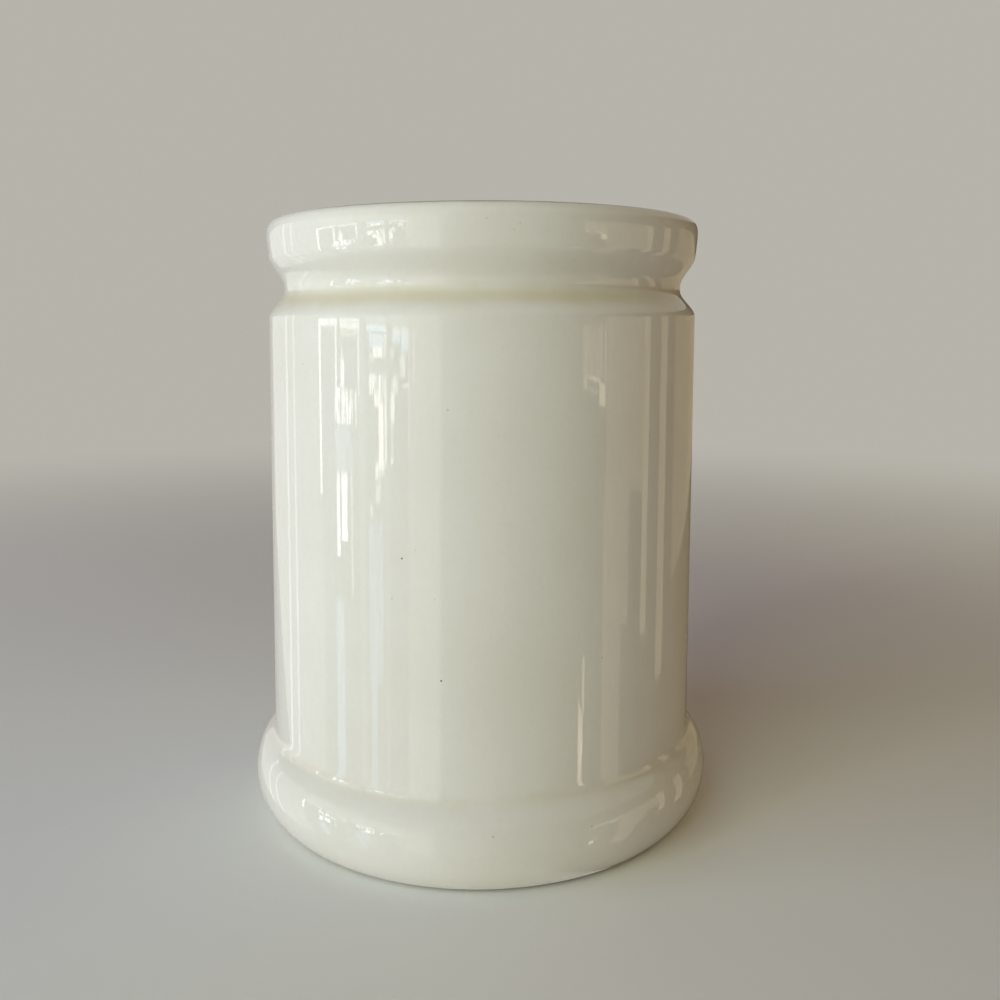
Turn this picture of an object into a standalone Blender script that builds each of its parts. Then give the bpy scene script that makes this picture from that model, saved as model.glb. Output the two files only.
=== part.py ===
"""A glazed stoneware canister, open at the top, turned about +Z and standing on z = 0.

The pot is one fired clay body under three coats of glaze: one outside, one inside and one under the base.
Each layer is its own closed solid. Lengths are in metres.
"""

import math

import bpy

# The finished outside, glaze included
HEIGHT = 0.1662
BODY_RADIUS = 0.0600
BODY_FLARE = 0.0007

# The rim band and the rounded lip on top of it
BAND_PROJECTION = 0.0002
BAND_HEIGHT = 0.0060
BAND_LEAN = math.radians(13)
LIP_OUTER_WIDTH = 0.0034
LIP_OUTER_DROP = 0.0039
LIP_INNER_ROUND = 0.0039
LIP_POWER = 2.6

# The groove between the rim band and the body
GROOVE_DEPTH = 0.0043
GROOVE_UPPER_HEIGHT = 0.0077
GROOVE_LOWER_HEIGHT = 0.0086

# The bead round the foot: an upright ellipse with its lowest part cut away
BEAD_PROJECTION = 0.0054
BEAD_DEPTH = 0.0103
BEAD_HALF_HEIGHT = 0.0125
BEAD_CUT = 0.0009

# The finished inside, glaze included; the floor's thickness has no base coat in it
WALL = 0.0064
FLOOR_THICKNESS = 0.0065
FLOOR_ROUND = 0.0120
INNER_RIDGE_SHARE = 0.6

# The bare foot ring and the recess that it surrounds
FOOT_RING_WIDTH = 0.0060
FOOT_EDGE = 0.0005
RECESS_DEPTH = 0.0035
RECESS_ROUND = 0.0020

# The glaze: its thickness, the gap that keeps the layers apart, and where the coats end
GLAZE_THICKNESS = 0.0005
LAYER_GAP = 0.0003
GLAZE_LINE_HEIGHT = 0.0010
COAT_JOIN_SHARE = 0.5

# Facets
TURN_STEPS = 48
LIP_STEPS = 5
JOIN_STEPS = 2
BAND_STEPS = 2
GROOVE_STEPS = 5
BEAD_STEPS = 8
FOOT_STEPS = 2
INNER_STEPS = 4
FLOOR_STEPS = 5
RECESS_STEPS = 3
MERGE_DISTANCE = 0.00001
SHARP_ANGLE = math.radians(35)

# What follows from the sizes above
QUARTER_TURN = math.pi / 2
LAYER_DEPTH = GLAZE_THICKNESS + LAYER_GAP
BAND_RADIUS = BODY_RADIUS + BAND_PROJECTION
BAND_TOP = HEIGHT - LIP_OUTER_DROP
BAND_BOTTOM = BAND_TOP - BAND_HEIGHT
BAND_CURVE_RADIUS = BAND_HEIGHT / math.sin(BAND_LEAN)
CREST_RADIUS = BAND_RADIUS - LIP_OUTER_WIDTH
LIP_CENTRE = (CREST_RADIUS, HEIGHT - LIP_INNER_ROUND)
JOIN_ANGLE = QUARTER_TURN + QUARTER_TURN * COAT_JOIN_SHARE
GROOVE_RADIUS = BODY_RADIUS - GROOVE_DEPTH
GROOVE_LEVEL = BAND_BOTTOM - GROOVE_UPPER_HEIGHT
SHOULDER_LEVEL = GROOVE_LEVEL - GROOVE_LOWER_HEIGHT
BODY_FOOT_RADIUS = BODY_RADIUS + BODY_FLARE
BEAD_CENTRE = (BODY_FOOT_RADIUS + BEAD_PROJECTION - BEAD_DEPTH, BEAD_HALF_HEIGHT - BEAD_CUT)
CREASE_ANGLE = math.acos(1 - BEAD_PROJECTION / BEAD_DEPTH)
GLAZE_LINE_ANGLE = -math.asin((BEAD_CENTRE[1] - GLAZE_LINE_HEIGHT) / BEAD_HALF_HEIGHT)
INNER_RADIUS = BODY_RADIUS - WALL
INNER_FOOT_RADIUS = BODY_FOOT_RADIUS - WALL
RIDGE_RADIUS = INNER_RADIUS - GROOVE_DEPTH * INNER_RIDGE_SHARE
FLOOR_LEVEL = RECESS_DEPTH + FLOOR_THICKNESS


def arc(count, start_angle, end_angle, centre, width, height, power=2.0):
    """Points along an ellipse, or a squarer curve for a power above 2, without the first point."""
    points = []
    for i in range(1, count + 1):
        angle = start_angle + (end_angle - start_angle) * i / count
        across, up = math.cos(angle), math.sin(angle)
        radius = centre[0] + width * math.copysign(abs(across) ** (2 / power), across)
        level = centre[1] + height * math.copysign(abs(up) ** (2 / power), up)
        points.append((radius, level))
    return points


def soft_step(count, start, end, lean=0.0):
    """Points down a smooth S from start, where it leans in by an angle, to an upright end.

    The first point is left out.
    """
    drop = start[1] - end[1]
    points = []
    for i in range(1, count + 1):
        share = i / count
        eased = share * share * (3 - 2 * share)
        leaning = drop * math.tan(lean) * share * (1 - share) ** 2
        points.append((start[0] + (end[0] - start[0]) * eased - leaning, start[1] - drop * share))
    return points


def offset(line, distance):
    """The line moved to its right by a distance, with its corners kept."""
    normals = []
    for (radius_a, level_a), (radius_b, level_b) in zip(line, line[1:]):
        run, rise = radius_b - radius_a, level_b - level_a
        length = math.hypot(run, rise)
        normals.append((rise / length, -run / length))
    moved = []
    for (radius, level), before, after in zip(line, normals[:1] + normals, normals + normals[-1:]):
        across, up = before[0] + after[0], before[1] + after[1]
        stretch = 2 * distance / (across * across + up * up)
        moved.append((radius + across * stretch, level + up * stretch))
    return moved


def outside_line():
    """The finished outside: from where the coats meet, over the lip and down to the glaze line."""
    join_point = (CREST_RADIUS + LIP_INNER_ROUND * math.cos(JOIN_ANGLE),
                  LIP_CENTRE[1] + LIP_INNER_ROUND * math.sin(JOIN_ANGLE))
    crease_level = BEAD_CENTRE[1] + BEAD_HALF_HEIGHT * math.sin(CREASE_ANGLE)
    line = [join_point]
    line += arc(JOIN_STEPS, JOIN_ANGLE, QUARTER_TURN, LIP_CENTRE, LIP_INNER_ROUND, LIP_INNER_ROUND)
    line += arc(LIP_STEPS, QUARTER_TURN, 0, (CREST_RADIUS, BAND_TOP),
                LIP_OUTER_WIDTH, LIP_OUTER_DROP, LIP_POWER)
    line += arc(BAND_STEPS, 0, -BAND_LEAN, (BAND_RADIUS - BAND_CURVE_RADIUS, BAND_TOP),
                BAND_CURVE_RADIUS, BAND_CURVE_RADIUS)
    line += soft_step(GROOVE_STEPS, line[-1], (GROOVE_RADIUS, GROOVE_LEVEL), BAND_LEAN)
    line += soft_step(GROOVE_STEPS, line[-1], (BODY_RADIUS, SHOULDER_LEVEL))
    line.append((BODY_FOOT_RADIUS, crease_level))
    line += arc(BEAD_STEPS, CREASE_ANGLE, GLAZE_LINE_ANGLE, BEAD_CENTRE, BEAD_DEPTH, BEAD_HALF_HEIGHT)
    return line


def inside_line():
    """The finished inside: from where the coats meet, down the wall and round the floor's corner."""
    start_angle = JOIN_ANGLE + LAYER_GAP / LIP_INNER_ROUND
    corner_centre = (INNER_FOOT_RADIUS - FLOOR_ROUND, FLOOR_LEVEL + FLOOR_ROUND)
    line = [(CREST_RADIUS + LIP_INNER_ROUND * math.cos(start_angle),
             LIP_CENTRE[1] + LIP_INNER_ROUND * math.sin(start_angle))]
    line += arc(JOIN_STEPS, start_angle, math.pi, LIP_CENTRE, LIP_INNER_ROUND, LIP_INNER_ROUND)
    line += soft_step(INNER_STEPS, line[-1], (RIDGE_RADIUS, GROOVE_LEVEL))
    line += soft_step(INNER_STEPS, line[-1], (INNER_RADIUS, SHOULDER_LEVEL))
    line.append((INNER_FOOT_RADIUS, corner_centre[1]))
    line += arc(FLOOR_STEPS, 0, -QUARTER_TURN, corner_centre, FLOOR_ROUND, FLOOR_ROUND)
    return line


def foot_line():
    """The bare clay below the glaze line: on along the bead's curve to the edge of the foot ring."""
    width, height = BEAD_DEPTH - LAYER_DEPTH, BEAD_HALF_HEIGHT - LAYER_DEPTH
    foot_angle = -math.asin((BEAD_CENTRE[1] - FOOT_EDGE) / height)
    return arc(FOOT_STEPS, GLAZE_LINE_ANGLE, foot_angle, BEAD_CENTRE, width, height)


def recess_line():
    """The clay over the recess: from near the axis outwards and down the wall of the foot ring."""
    wall_radius = foot_line()[-1][0] - FOOT_EDGE - FOOT_RING_WIDTH - FOOT_EDGE
    corner_centre = (wall_radius - RECESS_ROUND, RECESS_DEPTH - RECESS_ROUND)
    line = [(corner_centre[0], RECESS_DEPTH)]
    line += arc(RECESS_STEPS, QUARTER_TURN, 0, corner_centre, RECESS_ROUND, RECESS_ROUND)
    return line


def clay_body():
    """The outline of the clay: up the inside, over the lip, down to the foot ring and into the recess."""
    inside = offset(inside_line(), -LAYER_DEPTH)
    outside = offset(outside_line(), LAYER_DEPTH)
    foot = foot_line()
    recess = recess_line()
    flat_outer_radius = foot[-1][0] - FOOT_EDGE
    flat_inner_radius = flat_outer_radius - FOOT_RING_WIDTH
    outline = [(0, inside[-1][1])] + inside[::-1] + outside + foot
    outline += [(flat_outer_radius, 0), (flat_inner_radius, 0), (recess[-1][0], FOOT_EDGE)]
    outline += recess[::-1] + [(0, RECESS_DEPTH)]
    return outline


def outer_glaze():
    """The outline of the outer coat, a closed loop: down its face and up its back."""
    line = outside_line()
    back = offset(line, GLAZE_THICKNESS)
    return line + back[::-1] + line[:1]


def liner_glaze():
    """The outline of the inner coat: from the middle of the floor up its face and down its back."""
    line = inside_line()
    back = offset(line, -GLAZE_THICKNESS)
    return [(0, FLOOR_LEVEL)] + line[::-1] + back + [(0, back[-1][1])]


def base_glaze():
    """The outline of the coat under the base, inside the foot ring."""
    back = offset(recess_line(), LAYER_GAP)
    face = offset(recess_line(), LAYER_DEPTH)
    return [(0, back[0][1])] + back + face[::-1] + [(0, face[0][1])]


def ceramic(name, colour, roughness):
    """A Principled material for a layer of the pot."""
    material = bpy.data.materials.new(name)
    material.use_nodes = True
    shader = material.node_tree.nodes["Principled BSDF"]
    shader.inputs["Base Color"].default_value = (*colour, 1)
    shader.inputs["Roughness"].default_value = roughness
    shader.inputs["Metallic"].default_value = 0
    material.diffuse_color = (*colour, 1)
    return material


def turn(name, outline, material, collection):
    """Turns an outline once round the axis and adds the finished solid to the collection.

    The outline runs down the outer side. One that ends on its first point is joined there.
    """
    looped = outline[0] == outline[-1]
    vertices = [(radius, 0, level) for radius, level in (outline[:-1] if looped else outline)]
    edges = [(i, (i + 1) % len(vertices)) for i in range(len(outline) - 1)]
    profile_mesh = bpy.data.meshes.new(name + "_profile")
    profile_mesh.from_pydata(vertices, edges, [])
    profile = bpy.data.objects.new(name + "_profile", profile_mesh)
    collection.objects.link(profile)
    screw = profile.modifiers.new("Turn", "SCREW")
    screw.axis = "Z"
    screw.steps = TURN_STEPS
    screw.render_steps = TURN_STEPS
    screw.use_merge_vertices = True
    screw.merge_threshold = MERGE_DISTANCE
    graph = bpy.context.evaluated_depsgraph_get()
    mesh = bpy.data.meshes.new_from_object(profile.evaluated_get(graph))
    bpy.data.objects.remove(profile)
    bpy.data.meshes.remove(profile_mesh)
    mesh.name = name
    mesh.shade_smooth()
    mesh.set_sharp_from_angle(angle=SHARP_ANGLE)
    mesh.materials.clear()
    mesh.materials.append(material)
    solid = bpy.data.objects.new(name, mesh)
    collection.objects.link(solid)
    return solid


def main():
    for old in list(bpy.data.objects):
        bpy.data.objects.remove(old)
    collection = bpy.data.collections.new("ceramic_canister")
    bpy.context.scene.collection.children.link(collection)
    turn("clay_body", clay_body(), ceramic("bare_stoneware", (0.60, 0.50, 0.38), 0.85), collection)
    turn("outer_glaze", outer_glaze(), ceramic("cream_outer_glaze", (0.775, 0.75, 0.65), 0.05), collection)
    turn("liner_glaze", liner_glaze(), ceramic("cream_liner_glaze", (0.74, 0.71, 0.60), 0.10), collection)
    turn("base_glaze", base_glaze(), ceramic("cream_base_glaze", (0.72, 0.68, 0.56), 0.14), collection)


main()
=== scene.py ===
"""The looks of a cream-glazed stoneware canister, and the studio that it stands in.

Every piece is turned about +Z from an outline of (radius, level) points, in metres. The faces of the glaze
are the pot's finished outside, inside and recess. Each coat reaches from its face back to the clay.
"""

import math

import bmesh
import bpy
from mathutils import Matrix, Vector, noise


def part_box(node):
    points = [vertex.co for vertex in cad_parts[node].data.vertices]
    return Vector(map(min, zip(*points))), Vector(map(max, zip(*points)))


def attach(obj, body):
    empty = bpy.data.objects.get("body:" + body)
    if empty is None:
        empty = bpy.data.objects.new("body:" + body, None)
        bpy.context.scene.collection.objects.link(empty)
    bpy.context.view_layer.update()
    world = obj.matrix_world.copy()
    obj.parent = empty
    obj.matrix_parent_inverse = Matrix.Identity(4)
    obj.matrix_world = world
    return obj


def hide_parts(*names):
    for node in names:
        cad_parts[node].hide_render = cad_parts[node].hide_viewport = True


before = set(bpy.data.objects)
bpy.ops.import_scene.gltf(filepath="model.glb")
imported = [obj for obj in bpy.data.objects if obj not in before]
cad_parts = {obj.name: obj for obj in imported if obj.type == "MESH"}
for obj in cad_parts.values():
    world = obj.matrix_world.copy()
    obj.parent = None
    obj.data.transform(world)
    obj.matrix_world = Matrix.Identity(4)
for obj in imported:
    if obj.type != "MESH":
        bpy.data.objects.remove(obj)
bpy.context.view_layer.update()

QUARTER_TURN = math.pi / 2
MM = 0.001

# The finished outside, as the solids have it but for a fuller foot of the band and a lower groove
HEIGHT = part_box("outer_glaze")[1].z
BODY_RADIUS = 60.0 * MM
BODY_FLARE = 0.7 * MM
BAND_RADIUS = BODY_RADIUS + 0.2 * MM
BAND_HEIGHT = 6.0 * MM
BAND_TURN_HEIGHT = 0.55 * MM
BAND_UPPER_LEAN = math.radians(3.9)
BAND_LEAN = math.radians(6.8)
LIP_OUTER_WIDTH = 3.4 * MM
LIP_OUTER_DROP = 3.9 * MM
LIP_INNER_ROUND = 3.9 * MM
LIP_POWER = 2.6
GROOVE_DEPTH = 4.3 * MM
GROOVE_UPPER_HEIGHT = 7.7 * MM
GROOVE_LOWER_HEIGHT = 8.6 * MM
GROOVE_FLAT_HEIGHT = 1.3 * MM
GROOVE_FLAT_LEAN = math.radians(6)
BEAD_PROJECTION = 5.4 * MM
BEAD_DEPTH = 10.3 * MM
BEAD_HALF_HEIGHT = 12.5 * MM
BEAD_CUT = 0.9 * MM

# The finished inside and the recess under the base
WALL = 6.4 * MM
FLOOR_LEVEL = 10.0 * MM
FLOOR_ROUND = 12.0 * MM
INNER_RIDGE_SHARE = 0.6
FOOT_RING_WIDTH = 6.0 * MM
FOOT_EDGE = 0.5 * MM
RECESS_DEPTH = 3.5 * MM
RECESS_ROUND = 2.0 * MM

# The coats of glaze
CLAY_DEPTH = 0.8 * MM
COAT_GAP = 0.05 * MM
COAT_THICKNESS = CLAY_DEPTH - COAT_GAP
GLAZE_LINE_HEIGHT = 1.0 * MM
SEAM_ANGLE = math.radians(135)

# Where the outline turns
BAND_TOP = HEIGHT - LIP_OUTER_DROP
BAND_BOTTOM = BAND_TOP - BAND_HEIGHT
BAND_TURN_RADIUS = BAND_TURN_HEIGHT / math.sin(BAND_UPPER_LEAN)
BAND_CURVE_RADIUS = (BAND_HEIGHT - BAND_TURN_HEIGHT) / (math.sin(BAND_LEAN) - math.sin(BAND_UPPER_LEAN))
CREST_RADIUS = BAND_RADIUS - LIP_OUTER_WIDTH
LIP_CENTRE = (CREST_RADIUS, HEIGHT - LIP_INNER_ROUND)
LIP_SEAM = (LIP_CENTRE[0] + LIP_INNER_ROUND * math.cos(SEAM_ANGLE),
            LIP_CENTRE[1] + LIP_INNER_ROUND * math.sin(SEAM_ANGLE))
GROOVE_RADIUS = BODY_RADIUS - GROOVE_DEPTH
GROOVE_LEVEL = BAND_BOTTOM - GROOVE_UPPER_HEIGHT
GROOVE_FLAT_BOTTOM = GROOVE_LEVEL - GROOVE_FLAT_HEIGHT
GROOVE_FLAT_RADIUS = GROOVE_FLAT_HEIGHT / math.sin(GROOVE_FLAT_LEAN)
SHOULDER_LEVEL = GROOVE_LEVEL - GROOVE_LOWER_HEIGHT
BODY_FOOT_RADIUS = BODY_RADIUS + BODY_FLARE
BEAD_CENTRE = (BODY_FOOT_RADIUS + BEAD_PROJECTION - BEAD_DEPTH, BEAD_HALF_HEIGHT - BEAD_CUT)
CREASE_ANGLE = math.acos(1 - BEAD_PROJECTION / BEAD_DEPTH)
CREASE_LEVEL = BEAD_CENTRE[1] + BEAD_HALF_HEIGHT * math.sin(CREASE_ANGLE)
GLAZE_LINE_ANGLE = -math.asin((BEAD_CENTRE[1] - GLAZE_LINE_HEIGHT) / BEAD_HALF_HEIGHT)
INNER_RADIUS = BODY_RADIUS - WALL
INNER_FOOT_RADIUS = BODY_FOOT_RADIUS - WALL
RIDGE_RADIUS = INNER_RADIUS - GROOVE_DEPTH * INNER_RIDGE_SHARE

# How finely the pot is turned
TURN_STEPS = 240
LIP_STEPS = 20
SEAM_STEPS = 8
BAND_TURN_STEPS = 2
BAND_STEPS = 8
GROOVE_STEPS = 24
GROOVE_FLAT_STEPS = 4
SHOULDER_STEPS = 3
SHOULDER_REACH = 1.2 * MM
BODY_STEPS = 16
CREASE_STEPS = 10
CREASE_REACH = 4.2 * MM
CREASE_PASSES = 22
BEAD_STEPS = 56
CORNER_STEPS = 16
FLOOR_STEPS = 12
EDGE_STEPS = 5
MERGE_DISTANCE = 0.001 * MM
SHARP_ANGLE = math.radians(35)

# The slight unevenness of a slip-cast wall, and a rim that stands a little higher on the right
SLOW_WAVE_AROUND = 26 * MM
SLOW_WAVE_UP = 90 * MM
SLOW_WAVE_DEPTH = 0.05 * MM
RIM_SLANT = 0.010
SLANT_START = 0.2 * HEIGHT
SLANT_END = 0.8 * HEIGHT


def straight(count, start, end):
    """Evenly spaced points on the way from start to end, without the first point."""
    return [(start[0] + (end[0] - start[0]) * i / count, start[1] + (end[1] - start[1]) * i / count)
            for i in range(1, count + 1)]


def arc(count, start_angle, end_angle, centre, width, height=None, power=2.0):
    """Points along a circle, an ellipse or, for a power above 2, a squarer curve, without the first point."""
    height = height or width
    points = []
    for i in range(1, count + 1):
        angle = start_angle + (end_angle - start_angle) * i / count
        across, up = math.cos(angle), math.sin(angle)
        radius = centre[0] + width * math.copysign(abs(across) ** (2 / power), across)
        level = centre[1] + height * math.copysign(abs(up) ** (2 / power), up)
        points.append((radius, level))
    return points


def soft_step(count, start, end, lean=0.0, end_lean=0.0):
    """Points down a smooth S that leans in by an angle at its start and at its end.

    The first point is left out.
    """
    drop = start[1] - end[1]
    points = []
    for i in range(1, count + 1):
        share = i / count
        eased = share * share * (3 - 2 * share)
        leaning = drop * math.tan(lean) * share * (1 - share) ** 2
        leaning -= drop * math.tan(end_lean) * share ** 2 * (1 - share)
        points.append((start[0] + (end[0] - start[0]) * eased - leaning, start[1] - drop * share))
    return points


def offset(line, distance):
    """The line moved to its right by a distance, with its corners kept."""
    normals = []
    for (radius_a, level_a), (radius_b, level_b) in zip(line, line[1:]):
        run, rise = radius_b - radius_a, level_b - level_a
        length = math.hypot(run, rise)
        normals.append((rise / length, -run / length))
    moved = []
    for (radius, level), before, after in zip(line, normals[:1] + normals, normals + normals[-1:]):
        across, up = before[0] + after[0], before[1] + after[1]
        stretch = 2 * distance / (across * across + up * up)
        moved.append((radius + across * stretch, level + up * stretch))
    return moved


def relaxed(line, corner, reach, passes):
    """The line with the points that lie within reach of a corner eased into a soft curve."""
    line = list(line)
    within = [i for i in range(1, len(line) - 1) if math.dist(line[i], corner) < reach]
    for _ in range(passes):
        eased = {}
        for i in within:
            (radius_a, level_a), (radius, level), (radius_b, level_b) = line[i - 1:i + 2]
            eased[i] = ((radius_a + 2 * radius + radius_b) / 4, (level_a + 2 * level + level_b) / 4)
        for i, point in eased.items():
            line[i] = point
    return line


def outside_face():
    """The finished outside: from the seam inside the lip, over it and down to the glaze line."""
    lip_base = (CREST_RADIUS, BAND_TOP)
    turn_centre = (BAND_RADIUS - BAND_TURN_RADIUS, BAND_TOP)
    line = [LIP_SEAM]
    line += arc(SEAM_STEPS, SEAM_ANGLE, QUARTER_TURN, LIP_CENTRE, LIP_INNER_ROUND)
    line += arc(LIP_STEPS, QUARTER_TURN, 0, lip_base, LIP_OUTER_WIDTH, LIP_OUTER_DROP, LIP_POWER)
    line += arc(BAND_TURN_STEPS, 0, -BAND_UPPER_LEAN, turn_centre, BAND_TURN_RADIUS)
    band_centre = (line[-1][0] - BAND_CURVE_RADIUS * math.cos(BAND_UPPER_LEAN),
                   line[-1][1] + BAND_CURVE_RADIUS * math.sin(BAND_UPPER_LEAN))
    line += arc(BAND_STEPS, -BAND_UPPER_LEAN, -BAND_LEAN, band_centre, BAND_CURVE_RADIUS)
    flat_start = (GROOVE_RADIUS + GROOVE_FLAT_RADIUS * (1 - math.cos(GROOVE_FLAT_LEAN)), GROOVE_LEVEL)
    flat_centre = (GROOVE_RADIUS + GROOVE_FLAT_RADIUS, GROOVE_FLAT_BOTTOM)
    line += soft_step(GROOVE_STEPS, line[-1], flat_start, BAND_LEAN, GROOVE_FLAT_LEAN)
    line += arc(GROOVE_FLAT_STEPS, math.pi - GROOVE_FLAT_LEAN, math.pi, flat_centre, GROOVE_FLAT_RADIUS)
    line += soft_step(GROOVE_STEPS, line[-1], (BODY_RADIUS, SHOULDER_LEVEL))
    line += straight(SHOULDER_STEPS, line[-1], (BODY_RADIUS, SHOULDER_LEVEL - SHOULDER_REACH))
    line += straight(BODY_STEPS, line[-1], (BODY_FOOT_RADIUS, CREASE_LEVEL + CREASE_REACH))
    line += straight(CREASE_STEPS, line[-1], (BODY_FOOT_RADIUS, CREASE_LEVEL))
    line += arc(BEAD_STEPS, CREASE_ANGLE, GLAZE_LINE_ANGLE, BEAD_CENTRE, BEAD_DEPTH, BEAD_HALF_HEIGHT)
    return relaxed(line, (BODY_FOOT_RADIUS, CREASE_LEVEL), CREASE_REACH, CREASE_PASSES)


def inside_face():
    """The finished inside: from the seam inside the lip, down the wall and round the floor's corner."""
    corner_centre = (INNER_FOOT_RADIUS - FLOOR_ROUND, FLOOR_LEVEL + FLOOR_ROUND)
    line = [LIP_SEAM]
    line += arc(SEAM_STEPS, SEAM_ANGLE, math.pi, LIP_CENTRE, LIP_INNER_ROUND)
    line += soft_step(GROOVE_STEPS, line[-1], (RIDGE_RADIUS, GROOVE_LEVEL))
    line += soft_step(GROOVE_STEPS, line[-1], (INNER_RADIUS, SHOULDER_LEVEL))
    line += straight(BODY_STEPS, line[-1], (INNER_FOOT_RADIUS, corner_centre[1]))
    line += arc(CORNER_STEPS, 0, -QUARTER_TURN, corner_centre, FLOOR_ROUND)
    return line


def foot_line():
    """The bare clay below the glaze line: on along the bead's curve to the edge of the foot ring."""
    width, height = BEAD_DEPTH - CLAY_DEPTH, BEAD_HALF_HEIGHT - CLAY_DEPTH
    foot_angle = -math.asin((BEAD_CENTRE[1] - FOOT_EDGE) / height)
    return arc(EDGE_STEPS, GLAZE_LINE_ANGLE, foot_angle, BEAD_CENTRE, width, height)


def recess_line():
    """The clay over the recess: from near the axis outwards and down the wall of the foot ring."""
    wall_radius = foot_line()[-1][0] - FOOT_EDGE - FOOT_RING_WIDTH - FOOT_EDGE
    corner_centre = (wall_radius - RECESS_ROUND, RECESS_DEPTH - RECESS_ROUND)
    line = [(0, RECESS_DEPTH)]
    line += straight(FLOOR_STEPS, line[-1], (corner_centre[0], RECESS_DEPTH))
    line += arc(CORNER_STEPS, QUARTER_TURN, 0, corner_centre, RECESS_ROUND)
    return line


def rolled_end(face, back):
    """The rounded end of a coat: a quarter turn from the end of its face to the clay just past its back."""
    (face_radius, face_level), (back_radius, back_level) = face[-1], back[-1]
    out = (face_radius - back_radius, face_level - back_level)
    before = face[-2]
    run, rise = face_radius - before[0], face_level - before[1]
    share = math.hypot(*out) / math.hypot(run, rise)
    on = (run * share, rise * share)
    points = []
    for i in range(1, EDGE_STEPS + 1):
        angle = QUARTER_TURN * i / EDGE_STEPS
        points.append(tuple(back[-1][k] + out[k] * math.cos(angle) + on[k] * math.sin(angle) for k in (0, 1)))
    return points


def settled(point):
    """Where a point of the true outline lies on the pot, with its slow waves and its slant."""
    around = Vector((point.x, point.y, 0)).normalized() * BODY_RADIUS / SLOW_WAVE_AROUND
    wave = noise.noise(Vector((around.x, around.y, point.z / SLOW_WAVE_UP))) * SLOW_WAVE_DEPTH
    share = min(max((point.z - SLANT_START) / (SLANT_END - SLANT_START), 0), 1)
    widened = 1 + wave / BODY_RADIUS
    return Vector((point.x * widened, point.y * widened, point.z + RIM_SLANT * share * point.x))


def mesh_of(name, bm):
    """The mesh that a bmesh has been shaped into."""
    mesh = bpy.data.meshes.new(name)
    bm.to_mesh(mesh)
    bm.free()
    return mesh


def placed(name, data):
    """A new object in the scene for a mesh, a lamp or a camera."""
    made = bpy.data.objects.new(name, data)
    bpy.context.scene.collection.objects.link(made)
    return made


# How deep the glaze lies: 0 where it runs thin over an edge, EVEN_SHARE on the wall and 1 where it pools
EVEN_SHARE = 0.5
# The thin glaze over the crest also marks the dark crest line, which is partly painted shade
THIN_OUT = 1.3 * MM
THIN_DROP = 0.15 * MM
THIN_REACH = 1.1 * MM
# In the crease and the groove the pooled glaze also carries painted shade, deepening flanks that face up into
# dim light
CREASE_POOL_AND_SHADE_SHARE = 0.35
CREASE_POOL_AND_SHADE_REACH = 2.6 * MM
GROOVE_POOL_AND_SHADE_SHARE = 0.95
GROOVE_POOL_AND_SHADE_DROP = 4.8 * MM
GROOVE_POOL_AND_SHADE_REACH = 3.4 * MM
CORNER_POOL_SHARE = 0.8
FLOOR_CORNER_SHARE = 0.3
FLOOR_POOL_REACH = 7.0 * MM
RECESS_POOL_REACH = 1.6 * MM


def turn(name, outline, depth_of=None):
    """A closed piece turned from its outline, which ends on its first point or runs from axis to axis."""
    looped = outline[0] == outline[-1]
    bm = bmesh.new()
    depth = bm.verts.layers.float.new("glaze_depth_and_shade")
    corners = [bm.verts.new((radius, 0, level)) for radius, level in (outline[:-1] if looped else outline)]
    edges = [bm.edges.new(pair) for pair in zip(corners, corners[1:])]
    if looped:
        edges.append(bm.edges.new((corners[-1], corners[0])))
    for corner in corners:
        corner[depth] = depth_of(corner.co.x, corner.co.z) if depth_of else EVEN_SHARE
    bmesh.ops.spin(bm, geom=corners + edges, cent=(0, 0, 0), axis=(0, 0, 1), angle=2 * math.pi,
                   steps=TURN_STEPS, use_merge=True)
    bmesh.ops.remove_doubles(bm, verts=bm.verts, dist=MERGE_DISTANCE)
    bmesh.ops.recalc_face_normals(bm, faces=bm.faces)
    for vertex in bm.verts:
        vertex.co = settled(vertex.co)
    mesh = mesh_of(name, bm)
    mesh.shade_smooth()
    mesh.set_sharp_from_angle(angle=SHARP_ANGLE)
    return placed(name, mesh)


def near(point, place, reach):
    """1 at a place, falling smoothly to 0 about two reaches away."""
    return math.exp(-(math.dist(point, place) / reach) ** 2)


def outside_depth_and_shade(radius, level):
    """The glaze runs thin over the lip and pools in the groove and in the crease above the bead, and these
    pools also carry painted shade.
    """
    point = (radius, level)
    crease = (BODY_FOOT_RADIUS, CREASE_LEVEL)
    groove = (GROOVE_RADIUS, GROOVE_LEVEL - GROOVE_POOL_AND_SHADE_DROP)
    thin = near(point, (CREST_RADIUS + THIN_OUT, HEIGHT - THIN_DROP), THIN_REACH)
    pooled_and_shaded = CREASE_POOL_AND_SHADE_SHARE * near(point, crease, CREASE_POOL_AND_SHADE_REACH)
    pooled_and_shaded += GROOVE_POOL_AND_SHADE_SHARE * near(point, groove, GROOVE_POOL_AND_SHADE_REACH)
    return EVEN_SHARE * (1 - thin + pooled_and_shaded)


def inside_depth(radius, level):
    """The glaze pools in the rounded corner of the floor."""
    inset = FLOOR_ROUND * FLOOR_CORNER_SHARE
    corner = (INNER_FOOT_RADIUS - inset, FLOOR_LEVEL + inset)
    return EVEN_SHARE * (1 + CORNER_POOL_SHARE * near((radius, level), corner, FLOOR_POOL_REACH))


def base_depth(radius, level):
    """The glaze pools in the corner of the recess."""
    corner = (recess_line()[-1][0], RECESS_DEPTH - CLAY_DEPTH)
    return EVEN_SHARE * (1 + CORNER_POOL_SHARE * near((radius, level), corner, RECESS_POOL_REACH))


def outer_coat():
    """The coat outside, down its face, round its rolled lower edge and up its back."""
    face = outside_face()
    back = offset(face, COAT_THICKNESS)
    return turn("outer_coat", face + rolled_end(face, back) + back[::-1] + face[:1], outside_depth_and_shade)


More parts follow.
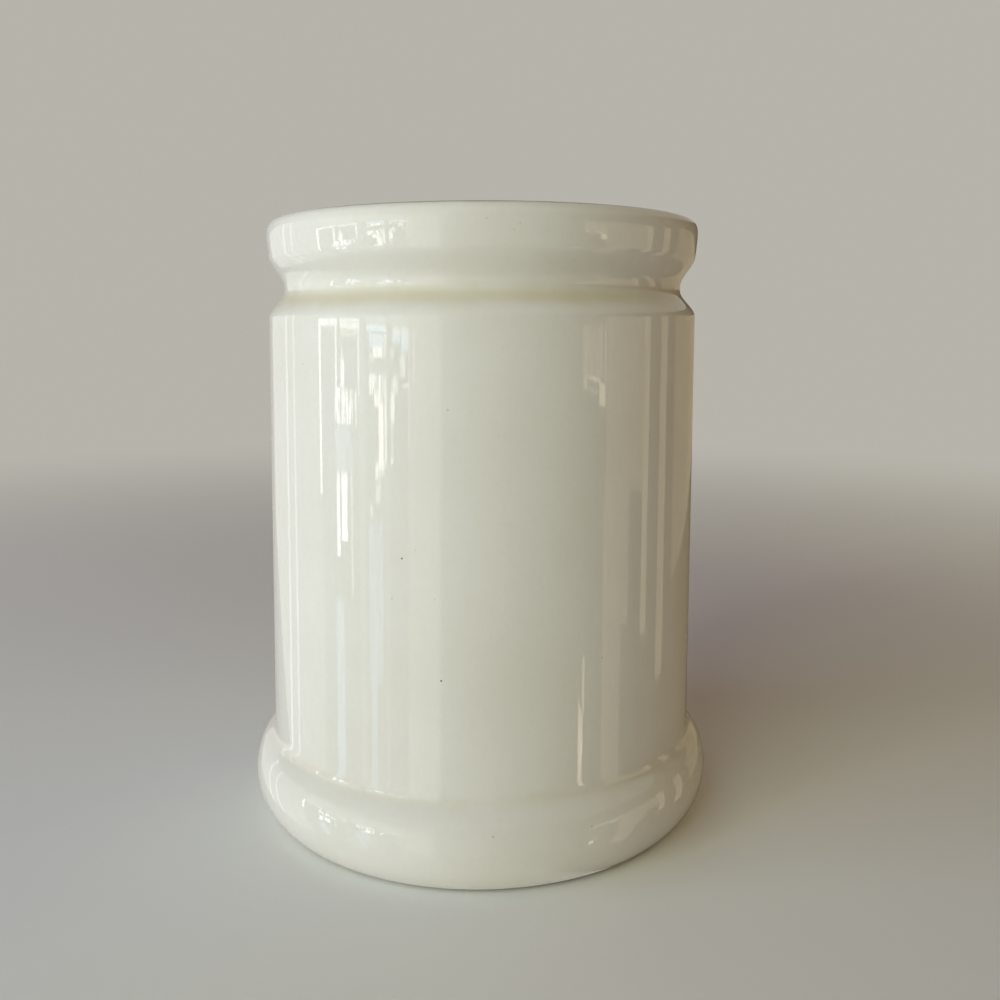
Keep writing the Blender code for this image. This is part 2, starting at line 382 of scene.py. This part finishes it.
def liner_coat():
    """The coat inside, from the middle of the floor up its face and down its back."""
    face = inside_face()
    back = offset(face, -COAT_THICKNESS)
    floor = straight(FLOOR_STEPS, (0, FLOOR_LEVEL), face[-1])[:-1]
    under = straight(FLOOR_STEPS, back[-1], (0, back[-1][1]))
    return turn("liner_coat", [(0, FLOOR_LEVEL)] + floor + face[::-1] + back + under, inside_depth)


def base_coat():
    """The coat in the recess under the base, with a rolled edge on the wall of the foot ring."""
    clay = recess_line()
    face, back = offset(clay, CLAY_DEPTH), offset(clay, COAT_GAP)
    outline = [(0, back[0][1])] + back[1:] + rolled_end(face, back)[::-1] + face[:0:-1] + [(0, face[0][1])]
    return turn("base_coat", outline, base_depth)


def clay_pot():
    """The fired clay: up the inside, over the lip, down the outside to the bare foot ring and its recess."""
    inside = offset(inside_face(), -CLAY_DEPTH)
    outside = offset(outside_face(), CLAY_DEPTH)
    foot = foot_line()
    recess = recess_line()
    flat_outer_radius = foot[-1][0] - FOOT_EDGE
    flat_inner_radius = flat_outer_radius - FOOT_RING_WIDTH
    outline = straight(FLOOR_STEPS, (0, inside[-1][1]), inside[-1])[:-1] + inside[::-1] + outside + foot
    outline += arc(EDGE_STEPS, 0, -QUARTER_TURN, (flat_outer_radius, FOOT_EDGE), FOOT_EDGE)
    outline += straight(EDGE_STEPS, outline[-1], (flat_inner_radius, 0))
    outline += arc(EDGE_STEPS, -QUARTER_TURN, -2 * QUARTER_TURN, (flat_inner_radius, FOOT_EDGE), FOOT_EDGE)
    outline += recess[::-1]
    return turn("clay_pot", [(0, inside[-1][1])] + outline)


def new_material(name):
    """A new material, with its node tree and its shader."""
    material = bpy.data.materials.new(name)
    material.use_nodes = True
    return material, material.node_tree, material.node_tree.nodes["Principled BSDF"]


def node(tree, kind, inputs=None, **settings):
    """A shader node with its settings, and its inputs given as values or as other nodes' outputs."""
    made = tree.nodes.new("ShaderNode" + kind)
    for name, value in settings.items():
        setattr(made, name, value)
    for socket, value in (inputs or {}).items():
        if isinstance(value, bpy.types.NodeSocket):
            tree.links.new(value, made.inputs[socket])
        else:
            made.inputs[socket].default_value = value
    return made


def own_place(tree):
    """Where a point lies on its own object."""
    return node(tree, "TexCoord").outputs["Object"]


def colour_mix(tree, share, under, over):
    """The colour under, with a share of the colour over."""
    factor, a, b = 0, 6, 7
    under = under if isinstance(under, bpy.types.NodeSocket) else (*under, 1)
    over = over if isinstance(over, bpy.types.NodeSocket) else (*over, 1)
    return node(tree, "Mix", {factor: share, a: under, b: over}, data_type="RGBA").outputs[2]


def ramp(tree, value, from_min, from_max, to_min=0.0, to_max=1.0):
    """A value carried smoothly from one range to another."""
    inputs = {"Value": value, "From Min": from_min, "From Max": from_max, "To Min": to_min, "To Max": to_max}
    return node(tree, "MapRange", inputs, interpolation_type="SMOOTHSTEP").outputs["Result"]


def sums(tree, operation, first, second):
    """One sum on two numbers."""
    return node(tree, "Math", {0: first, 1: second}, operation=operation).outputs[0]


# How fine the noise goes
SMOOTH = 1.0
SOFT = 2.0
FINE = 3.0
SANDY = 4.0


def cloudy(tree, place, size, detail=SOFT):
    """Soft noise whose patches are about a given size across."""
    inputs = {"Vector": place, "Scale": 1 / size, "Detail": detail}
    return node(tree, "TexNoise", inputs).outputs["Fac"]


def bumpy(tree, height, depth, under=None):
    """The surface's direction once a height, from 0 to 1 of a depth, is laid on it."""
    inputs = {"Strength": 1.0, "Distance": depth, "Height": height, **(under or {})}
    return node(tree, "Bump", inputs).outputs["Normal"]


# Iron specks that show on the front: azimuth in degrees to the right of the front, level, radius, strength
SPECKS = (
    (-18.6, 82.8 * MM, 0.30 * MM, 1.0),
    (-9.4, 53.4 * MM, 0.30 * MM, 1.0),
    (29.2, 56.5 * MM, 0.24 * MM, 0.45),
    (2.3, 16.6 * MM, 0.34 * MM, 0.35),
    (24.3, 16.2 * MM, 0.30 * MM, 0.35),
    (-48.1, 128.5 * MM, 0.26 * MM, 0.4),
    (-7.8, 118.4 * MM, 0.32 * MM, 0.3),
    (-21.1, 72.8 * MM, 0.20 * MM, 0.5),
    (-15.4, 85.0 * MM, 0.18 * MM, 0.4),
    (-10.8, 73.4 * MM, 0.20 * MM, 0.3),
    (0.7, 161.9 * MM, 0.24 * MM, 0.3),
    (6.6, 159.4 * MM, 0.20 * MM, 0.3),
    (7.9, 160.9 * MM, 0.22 * MM, 0.3),
)
SPECK_CORE_SHARE = 0.45

# Specks that are scattered all round
SPECK_SPACING = 9 * MM
SPECK_RADIUS = 0.38 * MM
SPECK_RARITY = 0.72
SCATTERED_CORE_SHARE = 0.5
SCATTERED_STRENGTHS = (0.15, 0.8)

# The glaze's colours, and how they drift: sizes of patches, and the noise that each starts and ends at
IRON = (0.10, 0.065, 0.035)
CREAM = (0.775, 0.75, 0.65)
LINER_CREAM = (0.74, 0.71, 0.60)
BASE_CREAM = (0.72, 0.68, 0.56)
# The deep cream of pooled glaze, which is also the painted shade in the groove and the crease
CREAM_DEEP_AND_SHADE = (0.64, 0.575, 0.39)
CREAM_CLOUD = (0.75, 0.72, 0.61)
# Brown of glaze broken thin over the crest, and painted shade along it on the shaded side
BROKEN_EDGE_AND_SHADE = (0.30, 0.25, 0.165)
CLOUD_SIZE = 34 * MM
CLOUD_NOISE = (0.35, 0.75)
MOTTLE_SIZE = 1.6 * MM
MOTTLE_NOISE = (0.45, 0.8)
MOTTLE_STRENGTH = 0.10
DRIFT_SIZE = 9 * MM
DRIFT_NOISE = (0.2, 0.8)
DRIFT = 0.05

# The depths at which the glaze turns deep or breaks, how strongly, and the lit side where the crest gets no
# dark line. The deep colour outside and the crest line are partly painted shade
POOL_AND_SHADE_DEPTHS = (0.52, 1.0)
POOL_AND_SHADE_STRENGTH = 0.9
BROKEN_AND_SHADE_DEPTHS = (0.30, 0.02)
BROKEN_AND_SHADE_STRENGTH = 0.85
LIT_SIDE = -50 * MM
SHADED_SIDE = -25 * MM

# The gloss, the ripples of a glaze that has flowed, and its finer orange-peel
GLAZE_IOR = 1.52
SHEEN_SIZE = 6 * MM
SHEEN_NOISE = (0.3, 0.7)
GLAZE_ROUGHNESS = (0.02, 0.045)
RIPPLE = 9 * MM
RIPPLE_DEPTH = 0.005 * MM
PEEL = 2.2 * MM
PEEL_DEPTH = 0.0006 * MM


def named_specks(tree, place):
    """How strongly the specks listed above colour the glaze."""
    below_lip = outside_face()[SEAM_STEPS + LIP_STEPS:]
    total = 0.0
    for azimuth, level, radius, strength in SPECKS:
        wall = next(point[0] for point in below_lip if point[1] <= level)
        angle = math.radians(azimuth)
        centre = settled(Vector((wall * math.sin(angle), -wall * math.cos(angle), level)))
        distance = node(tree, "VectorMath", {0: place, 1: centre}, operation="DISTANCE").outputs["Value"]
        spot = ramp(tree, distance, radius * SPECK_CORE_SHARE, radius, strength, 0.0)
        total = sums(tree, "MAXIMUM", spot, total)
    return total


def scattered_specks(tree, place):
    """Sparse specks all round the pot, of unlike sizes and strengths."""
    cells = node(tree, "TexVoronoi", {"Vector": place, "Scale": 1 / SPECK_SPACING})
    pick = node(tree, "SeparateColor", {0: cells.outputs["Color"]})
    radius = ramp(tree, pick.outputs[0], SPECK_RARITY, 1.0, 0.0, SPECK_RADIUS / SPECK_SPACING)
    inner = sums(tree, "MULTIPLY", radius, SCATTERED_CORE_SHARE)
    spot = ramp(tree, cells.outputs["Distance"], inner, radius, 1.0, 0.0)
    return sums(tree, "MULTIPLY", spot, ramp(tree, pick.outputs[1], 0.0, 1.0, *SCATTERED_STRENGTHS))


def glaze(name, tone, front_specks=False):
    """A glossy cream glaze: cloudy, yellower where it pools, brown where it breaks, specked with iron. The
    pools in the groove and the crease and the brown line on the crest are partly painted shade.
    """
    material, tree, shader = new_material(name)
    place = own_place(tree)
    depth = node(tree, "Attribute", attribute_name="glaze_depth_and_shade").outputs["Fac"]

    cloud = ramp(tree, cloudy(tree, place, CLOUD_SIZE), *CLOUD_NOISE)
    colour = colour_mix(tree, cloud, tone, CREAM_CLOUD)
    mottle = ramp(tree, cloudy(tree, place, MOTTLE_SIZE, FINE), *MOTTLE_NOISE, 0.0, MOTTLE_STRENGTH)
    colour = colour_mix(tree, mottle, colour, CREAM_DEEP_AND_SHADE)
    drift = ramp(tree, cloudy(tree, place, DRIFT_SIZE), *DRIFT_NOISE, -DRIFT, DRIFT)
    drifted = sums(tree, "ADD", depth, drift)
    # Deeper and yellower where the glaze pools; in the groove and the crease this is painted shade as well
    deepened_and_shaded = ramp(tree, drifted, *POOL_AND_SHADE_DEPTHS, 0.0, POOL_AND_SHADE_STRENGTH)
    colour = colour_mix(tree, deepened_and_shaded, colour, CREAM_DEEP_AND_SHADE)
    # A dark line along the crest: glaze breaking thin, and painted shade, left off the lit left side
    side = ramp(tree, node(tree, "SeparateXYZ", {0: place}).outputs["X"], LIT_SIDE, SHADED_SIDE)
    broken = sums(tree, "MULTIPLY", ramp(tree, drifted, *BROKEN_AND_SHADE_DEPTHS, 0.0, BROKEN_AND_SHADE_STRENGTH), side)
    colour = colour_mix(tree, broken, colour, BROKEN_EDGE_AND_SHADE)
    specks = scattered_specks(tree, place)
    if front_specks:
        specks = sums(tree, "MAXIMUM", specks, named_specks(tree, place))
    colour = colour_mix(tree, specks, colour, IRON)
    tree.links.new(colour, shader.inputs["Base Color"])

    sheen = ramp(tree, cloudy(tree, place, SHEEN_SIZE), *SHEEN_NOISE, *GLAZE_ROUGHNESS)
    tree.links.new(sheen, shader.inputs["Roughness"])
    shader.inputs["IOR"].default_value = GLAZE_IOR
    surface = bumpy(tree, cloudy(tree, place, RIPPLE, SMOOTH), RIPPLE_DEPTH)
    surface = bumpy(tree, cloudy(tree, place, PEEL, SMOOTH), PEEL_DEPTH, {"Normal": surface})
    tree.links.new(surface, shader.inputs["Normal"])
    return material


# The fired clay: its colours, the sizes of its patches, grains and sand, and the levels that toast it
BARE_CLAY = (0.60, 0.50, 0.38)
TOASTED_CLAY = (0.42, 0.27, 0.15)
RUBBED_CLAY = (0.66, 0.60, 0.51)
CLAY_CLOUD_SIZE = 7 * MM
CLAY_CLOUD_NOISE = (0.3, 0.7)
TOAST_LEVELS = (0.2 * MM, 1.0 * MM)
TOAST_SIZE = 4 * MM
TOAST_STRENGTHS = (0.5, 1.0)
GRAIN_SIZE = 1.1 * MM
GRAIN_EDGE_SHARES = (0.10, 0.22)
GRAIN_STRENGTH = 0.7
GRAIN_RARITY = (0.6, 0.9)
CLAY_SHEEN_SIZE = 3 * MM
CLAY_ROUGHNESS = (0.75, 0.92)
SAND_SIZE = 0.35 * MM
SAND_DEPTH = 0.05 * MM


def bare_clay(name):
    """Sandy fired stoneware, toasted along the edge of the glaze and rubbed pale on the flat of the foot."""
    material, tree, shader = new_material(name)
    place = own_place(tree)
    level = node(tree, "SeparateXYZ", {0: place}).outputs["Z"]

    cloud = ramp(tree, cloudy(tree, place, CLAY_CLOUD_SIZE, FINE), *CLAY_CLOUD_NOISE)
    colour = colour_mix(tree, cloud, BARE_CLAY, RUBBED_CLAY)
    uneven = ramp(tree, cloudy(tree, place, TOAST_SIZE), *DRIFT_NOISE, *TOAST_STRENGTHS)
    toast = sums(tree, "MULTIPLY", ramp(tree, level, *TOAST_LEVELS), uneven)
    colour = colour_mix(tree, toast, colour, TOASTED_CLAY)
    grains = node(tree, "TexVoronoi", {"Vector": place, "Scale": 1 / GRAIN_SIZE})
    dark = ramp(tree, grains.outputs["Distance"], *GRAIN_EDGE_SHARES, GRAIN_STRENGTH, 0.0)
    pick = node(tree, "SeparateColor", {0: grains.outputs["Color"]}).outputs[0]
    dark = sums(tree, "MULTIPLY", dark, ramp(tree, pick, *GRAIN_RARITY))
    colour = colour_mix(tree, dark, colour, IRON)
    tree.links.new(colour, shader.inputs["Base Color"])

    sheen = ramp(tree, cloudy(tree, place, CLAY_SHEEN_SIZE), *SHEEN_NOISE, *CLAY_ROUGHNESS)
    tree.links.new(sheen, shader.inputs["Roughness"])
    sand = cloudy(tree, place, SAND_SIZE, SANDY)
    tree.links.new(bumpy(tree, sand, SAND_DEPTH), shader.inputs["Normal"])
    return material


def finish_piece(piece, cad_node, material):
    """Gives a piece its material, lets it stand for its solid and fixes it to the pot."""
    piece.data.materials.append(material)
    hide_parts(cad_node)
    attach(piece, "root")


# The studio: the plain background, the floor that fades into it, and the dim light from all round
BACKGROUND = (0.47, 0.455, 0.405)
FLOOR_COLOUR = (0.95, 0.94, 0.92)
SEEN_FLOOR_COLOUR = (0.85, 0.86, 0.80)
FLOOR_RADIUS = 4.0
FLOOR_SIDES = 96
FLOOR_ROUGHNESS = 0.9
FADE_START = 0.20
FADE_END = 0.95
AMBIENT = (0.11, 0.07, 0.08)


def background_rays(tree):
    """1 for the rays that should see the plain pale background."""
    path = node(tree, "LightPath").outputs
    seen = sums(tree, "MAXIMUM", path["Is Camera Ray"], path["Is Glossy Ray"])
    return sums(tree, "MAXIMUM", seen, path["Is Transmission Ray"])


def pale_floor():
    """A wide matt floor that fades into the background and keeps the pot's shadow."""
    bm = bmesh.new()
    bmesh.ops.create_circle(bm, cap_ends=True, segments=FLOOR_SIDES, radius=FLOOR_RADIUS)
    mesh = mesh_of("floor", bm)
    floor = placed("floor", mesh)
    floor.visible_glossy = False
    material, tree, shader = new_material("pale_floor")
    seen = background_rays(tree)
    tree.links.new(colour_mix(tree, seen, FLOOR_COLOUR, SEEN_FLOOR_COLOUR), shader.inputs["Base Color"])
    shader.inputs["Roughness"].default_value = FLOOR_ROUGHNESS
    shader.inputs["Specular IOR Level"].default_value = 0.0
    glow = node(tree, "Emission", {"Color": (*BACKGROUND, 1), "Strength": 1.0})
    away = node(tree, "VectorMath", {0: own_place(tree)}, operation="LENGTH").outputs["Value"]
    share = sums(tree, "MULTIPLY", ramp(tree, away, FADE_START, FADE_END), seen)
    mixed = node(tree, "MixShader", {0: share, 1: shader.outputs[0], 2: glow.outputs[0]})
    tree.links.new(mixed.outputs[0], tree.nodes["Material Output"].inputs["Surface"])
    mesh.materials.append(material)


def pale_world():
    """A plain background, with a dimmer light that it casts on the pot."""
    world = bpy.data.worlds.new("studio")
    world.use_nodes = True
    bpy.context.scene.world = world
    tree = world.node_tree
    colour = colour_mix(tree, background_rays(tree), AMBIENT, BACKGROUND)
    tree.links.new(colour, tree.nodes["Background"].inputs["Color"])


def direction(azimuth, elevation):
    """The way from the pot to an azimuth, to the right of the front, and an elevation, in degrees."""
    a, e = math.radians(azimuth), math.radians(elevation)
    return Vector((math.sin(a) * math.cos(e), -math.cos(a) * math.cos(e), math.sin(e)))


# The power that gives a square metre of lamp a brightness of 1
LAMP_POWER = 4.0


def lamp(name, centre, facing, width, height, brightness, colour):
    """A flat lamp of an even brightness, where 1 is white, that doesn't show in the glaze."""
    light = bpy.data.lights.new(name, "AREA")
    light.shape = "RECTANGLE"
    light.size = width
    light.size_y = height
    light.energy = brightness * width * height * LAMP_POWER
    light.color = colour
    fitting = placed(name, light)
    fitting.matrix_world = Matrix.Translation(centre) @ facing.to_track_quat("Z", "Y").to_matrix().to_4x4()
    fitting.visible_camera = False
    fitting.visible_glossy = False


# Soft lamps: name, azimuth, elevation, distance, width, height, brightness, colour
SOFT_LAMPS = (
    ("key", -68, 10, 1.3, 0.9, 1.1, 1.8, (0.88, 1.0, 1.45)),
    ("front", -35, 16, 1.3, 0.9, 1.1, 2.6, (0.90, 1.0, 0.84)),
    ("side", 110, 8, 1.3, 0.9, 1.1, 0.95, (1.0, 0.82, 0.24)),
    ("above", 0, 88, 1.4, 1.6, 1.6, 0.05, (1.0, 0.80, 0.50)),
    ("behind", 180, 8, 1.3, 0.9, 1.1, 0.5, (0.85, 1.0, 1.10)),
)


def soft_lamps():
    """The wide lamps round the pot, each turned towards its middle."""
    for name, azimuth, elevation, distance, width, height, brightness, colour in SOFT_LAMPS:
        facing = direction(azimuth, elevation)
        centre = facing * distance + Vector((0, 0, HEIGHT / 2))
        lamp(name, centre, facing, width, height, brightness, colour)


# What the glaze mirrors: panels on upright cards. Each runs from one azimuth to another, in degrees to the
# right of the front, and from one level to another, in metres. Then come its brightness, where 1 is white,
# its colour, and how far strands break it up, from 0 to 1
CARD_DISTANCE = 1.5
CARD_STEP = 0.005
STRAND_WIDTH = 0.020
STRAND_LENGTH_SHARE = 3.0
STRAND_NOISE = (0.40, 0.60)
STRAND_CHANGES = (-0.95, 0.25)
COOL = (0.72, 0.95, 1.18)
NEUTRAL = (1.0, 1.0, 0.96)
CREAMY = (1.0, 0.97, 0.86)
WARM = (1.0, 0.84, 0.58)
LEFT_FACING = -72
LEFT_PANELS = (
    (-91.0, -77.5, 0.143, 0.151, 5.6, NEUTRAL, 0.3),
    (-76.0, -63.5, 0.140, 0.149, 5.6, NEUTRAL, 0.3),
    (-75.5, -65.5, 0.128, 0.140, 2.8, WARM, 0.5),
    (-91.0, -89.7, -0.150, 0.150, 7.2, CREAMY, 0.3),
    (-79.5, -78.3, 0.045, 0.143, 5.2, NEUTRAL, 0.4),
    (-75.8, -73.5, 0.045, 0.093, 7.2, NEUTRAL, 0.3),
    (-75.1, -74.4, 0.093, 0.112, 4.4, NEUTRAL, 0.3),
    (-64.8, -64.0, 0.030, 0.140, 5.2, NEUTRAL, 0.3),
    (-80.0, -76.3, -0.017, 0.045, 6.6, NEUTRAL, 1.0),
    (-75.6, -68.2, -0.016, 0.040, 6.6, NEUTRAL, 1.0),
    (-67.1, -65.6, -0.026, 0.038, 5.8, NEUTRAL, 1.0),
    (-80.0, -72.8, -0.100, -0.023, 1.9, COOL, 0.5),
    (-72.1, -69.0, -0.100, -0.023, 1.6, COOL, 0.5),
    (-79.3, -77.2, -0.255, -0.105, 7.8, NEUTRAL, 0.4),
    (-76.0, -72.1, -0.228, -0.105, 7.8, NEUTRAL, 0.4),
    (-69.9, -68.5, -0.330, -0.055, 2.8, NEUTRAL, 0.6),
    (-80.7, -75.1, -0.760, -0.335, 1.9, COOL, 0.4),
    (-59.0, -47.6, 0.137, 0.147, 5.8, COOL, 0.3),
    (-57.5, -49.5, 0.113, 0.134, 4.2, COOL, 0.4),
    (-55.3, -49.8, 0.097, 0.113, 7.2, NEUTRAL, 0.4),
    (-57.6, -55.3, 0.088, 0.105, 5.2, NEUTRAL, 0.8),
    (-49.1, -47.6, 0.097, 0.134, 5.2, NEUTRAL, 0.4),
    (-57.5, -47.8, 0.030, 0.065, 6.6, NEUTRAL, 1.0),
    (-54.5, -49.6, 0.005, 0.040, 7.0, CREAMY, 0.7),
    (-52.0, -49.3, -0.113, 0.005, 8.2, CREAMY, 0.3),
    (-48.6, -47.3, -0.107, 0.040, 5.6, NEUTRAL, 0.4),
    (-54.0, -48.3, -0.133, -0.100, 5.6, NEUTRAL, 0.9),
    (-54.0, -50.6, -0.178, -0.142, 4.8, NEUTRAL, 0.8),
    (-57.0, -55.4, -0.202, -0.180, 4.2, NEUTRAL, 0.8),
    (-57.8, -49.3, -0.352, -0.218, 1.9, COOL, 0.4),
    (-57.8, -49.3, -0.550, -0.355, 1.8, COOL, 0.4),
    (-57.3, -53.6, -0.860, -0.550, 1.9, COOL, 0.4),
    (-43.4, -38.9, 0.137, 0.145, 6.0, NEUTRAL, 0.2),
    (-38.3, -34.6, 0.137, 0.145, 6.0, NEUTRAL, 0.2),
    (-43.2, -38.9, 0.120, 0.136, 5.0, COOL, 0.4),
    (-38.3, -34.6, 0.106, 0.136, 5.0, COOL, 0.4),
    (-44.2, -42.4, 0.092, 0.110, 3.8, NEUTRAL, 0.7),
    (-39.0, -35.9, 0.052, 0.097, 4.4, NEUTRAL, 0.8),
    (-37.3, -34.2, 0.028, 0.034, 4.4, NEUTRAL, 0.4),
    (-43.4, -39.4, 0.020, 0.055, 6.6, NEUTRAL, 1.0),
    (-43.9, -41.8, -0.040, 0.020, 6.6, NEUTRAL, 0.3),
    (-43.8, -42.2, -0.112, -0.040, 2.8, NEUTRAL, 0.5),
    (-44.0, -42.3, -0.127, -0.114, 5.6, NEUTRAL, 0.3),
    (-33.8, -33.2, -0.120, 0.148, 3.2, NEUTRAL, 0.3),
    (-31.1, -30.4, 0.025, 0.145, 3.2, NEUTRAL, 0.3),
    (-119.0, -117.5, -1.200, 0.600, 2.2, NEUTRAL, 0.3),
    (-128.0, -126.0, -1.200, 0.600, 2.0, NEUTRAL, 0.3),
    (-150.0, -92.0, -1.200, 0.600, 1.0, CREAMY, 0.2),
    (-91.5, -63.0, 0.150, 0.600, 1.5, CREAMY, 0.2),
    (-63.5, -59.5, -1.200, 0.600, 1.0, CREAMY, 0.2),
    (-59.5, -46.5, 0.148, 0.600, 1.5, CREAMY, 0.2),
    (-46.5, -44.5, -1.200, 0.600, 1.0, CREAMY, 0.2),
    (-44.5, -33.0, 0.146, 0.600, 1.5, CREAMY, 0.2),
    (-33.0, -17.0, -1.200, 0.600, 1.2, CREAMY, 0.2),
)
RIGHT_FACING = 95
RIGHT_PANELS = (
    (51.0, 62.5, 0.055, 0.150, 1.3, WARM, 0.6),
    (63.2, 64.2, 0.000, 0.150, 2.4, WARM, 0.3),
    (52.0, 61.0, 0.045, 0.055, 3.4, WARM, 0.5),
    (51.0, 53.0, 0.020, 0.045, 2.6, WARM, 0.5),
    (60.0, 63.0, 0.000, 0.045, 4.2, WARM, 0.3),
    (54.0, 59.0, 0.020, 0.028, 2.4, WARM, 0.5),
    (46.0, 47.6, -1.050, -0.800, 3.0, WARM, 0.5),
    (49.3, 52.0, -1.000, -0.740, 4.8, WARM, 0.5),
    (51.5, 52.8, -0.740, -0.600, 2.6, WARM, 0.5),
    (64.2, 90.0, -0.140, 0.190, 0.9, WARM, 0.2),
    (90.0, 94.5, -0.400, 0.190, 1.4, WARM, 0.2),
    (62.9, 79.9, -0.400, -0.140, 0.95, WARM, 0.2),
    (62.9, 75.0, -1.100, -0.400, 0.85, WARM, 0.2),
    (104.5, 111.0, -0.500, 0.220, 0.9, WARM, 0.2),
    (120.0, 172.0, -0.350, 0.300, 0.42, WARM, 0.2),
    (120.0, 172.0, -1.200, -0.350, 0.15, WARM, 0.2),
)

# Dim shades keep the pale background out of the glaze in front and on the right
FRONT_FACING = 10
DIM = (0.10, 0.08, 0.06)
FRONT_SHADE = ((-20.0, 50.0, -1.6, 0.8, 1.0, DIM, 0.0),)
RIGHT_SHADE = ((28.0, 174.0, -4.0, 0.8, 1.0, DIM, 0.0),)


def mirrored_card(name, facing_azimuth, panels):
    """An upright card of glowing panels, the nearest first, that only the glaze sees."""
    facing = direction(facing_azimuth, 0)
    along = Vector((0, 0, 1)).cross(facing)
    turned = Matrix((along, Vector((0, 0, 1)), facing)).transposed().to_4x4()
    bm = bmesh.new()
    glow = bm.verts.layers.float_color.new("glow")
    for i, (start, end, low, high, brightness, colour, broken) in enumerate(panels):
        left, right = (CARD_DISTANCE * math.tan(math.radians(a - facing_azimuth)) for a in (start, end))
        middle = facing * (CARD_DISTANCE + CARD_STEP * i) + along * (left + right) / 2
        middle.z = (low + high) / 2
        size = Matrix.Diagonal((right - left, high - low, 1, 1))
        place = Matrix.Translation(middle) @ turned @ size
        made = bmesh.ops.create_grid(bm, x_segments=1, y_segments=1, size=0.5, matrix=place)
        for vertex in made["verts"]:
            vertex[glow] = (*(part * brightness for part in colour), broken)
    mesh = mesh_of(name, bm)
    card = placed(name, mesh)
    card.visible_camera = False
    card.visible_diffuse = False
    card.visible_transmission = False
    card.visible_shadow = False
    mesh.materials.append(bpy.data.materials["card_glow"])


def card_glow():
    """The cards' light: each panel's own glow, more or less broken into upright strands."""
    material, tree, shader = new_material("card_glow")
    tree.nodes.remove(shader)
    glow = node(tree, "Attribute", attribute_name="glow").outputs
    longer = (1, 1, 1 / STRAND_LENGTH_SHARE)
    drawn_out = node(tree, "VectorMath", {0: own_place(tree), 1: longer}, operation="MULTIPLY").outputs[0]
    strands = cloudy(tree, drawn_out, STRAND_WIDTH, FINE)
    strands = ramp(tree, strands, *STRAND_NOISE, *STRAND_CHANGES)
    strength = sums(tree, "ADD", sums(tree, "MULTIPLY", strands, glow["Alpha"]), 1.0)
    lit = node(tree, "Emission", {"Color": glow["Color"], "Strength": strength})
    tree.links.new(lit.outputs[0], tree.nodes["Material Output"].inputs["Surface"])
    material.cycles.emission_sampling = "NONE"


# The camera: where it stands, how it is turned, and its lens
CAMERA_PLACE = (0.0, -0.29077, 0.13779)
CAMERA_YAW = math.radians(1.93)
CAMERA_PITCH = math.radians(7.06)
CAMERA_ROLL = math.radians(0.38)
LENS = 36.0
SENSOR = 36.0
SHIFT = (-0.0165, -0.0503)
CLIP_START = 0.01


def camera():
    """The camera at the photograph's viewing angle."""
    data = bpy.data.cameras.new("camera")
    data.lens = LENS
    data.sensor_width = SENSOR
    data.shift_x, data.shift_y = SHIFT
    data.clip_start = CLIP_START
    view = placed("camera", data)
    turned = Matrix.Rotation(-CAMERA_YAW, 4, "Z") @ Matrix.Rotation(QUARTER_TURN - CAMERA_PITCH, 4, "X")
    view.matrix_world = Matrix.Translation(CAMERA_PLACE) @ turned @ Matrix.Rotation(CAMERA_ROLL, 4, "Z")
    bpy.context.scene.camera = view


bpy.context.scene.view_settings.view_transform = "Standard"
camera()
pale_floor()
pale_world()
soft_lamps()
card_glow()
mirrored_card("left_card", LEFT_FACING, LEFT_PANELS)
mirrored_card("right_card", RIGHT_FACING, RIGHT_PANELS + RIGHT_SHADE)
mirrored_card("front_card", FRONT_FACING, FRONT_SHADE)

outer_glaze = glaze("cream_outer_glaze", CREAM, front_specks=True)
liner_glaze = glaze("cream_liner_glaze", LINER_CREAM)
base_glaze = glaze("cream_base_glaze", BASE_CREAM)
stoneware = bare_clay("bare_stoneware")
finish_piece(outer_coat(), "outer_glaze", outer_glaze)
finish_piece(liner_coat(), "liner_glaze", liner_glaze)
finish_piece(base_coat(), "base_glaze", base_glaze)
finish_piece(clay_pot(), "clay_body", stoneware)
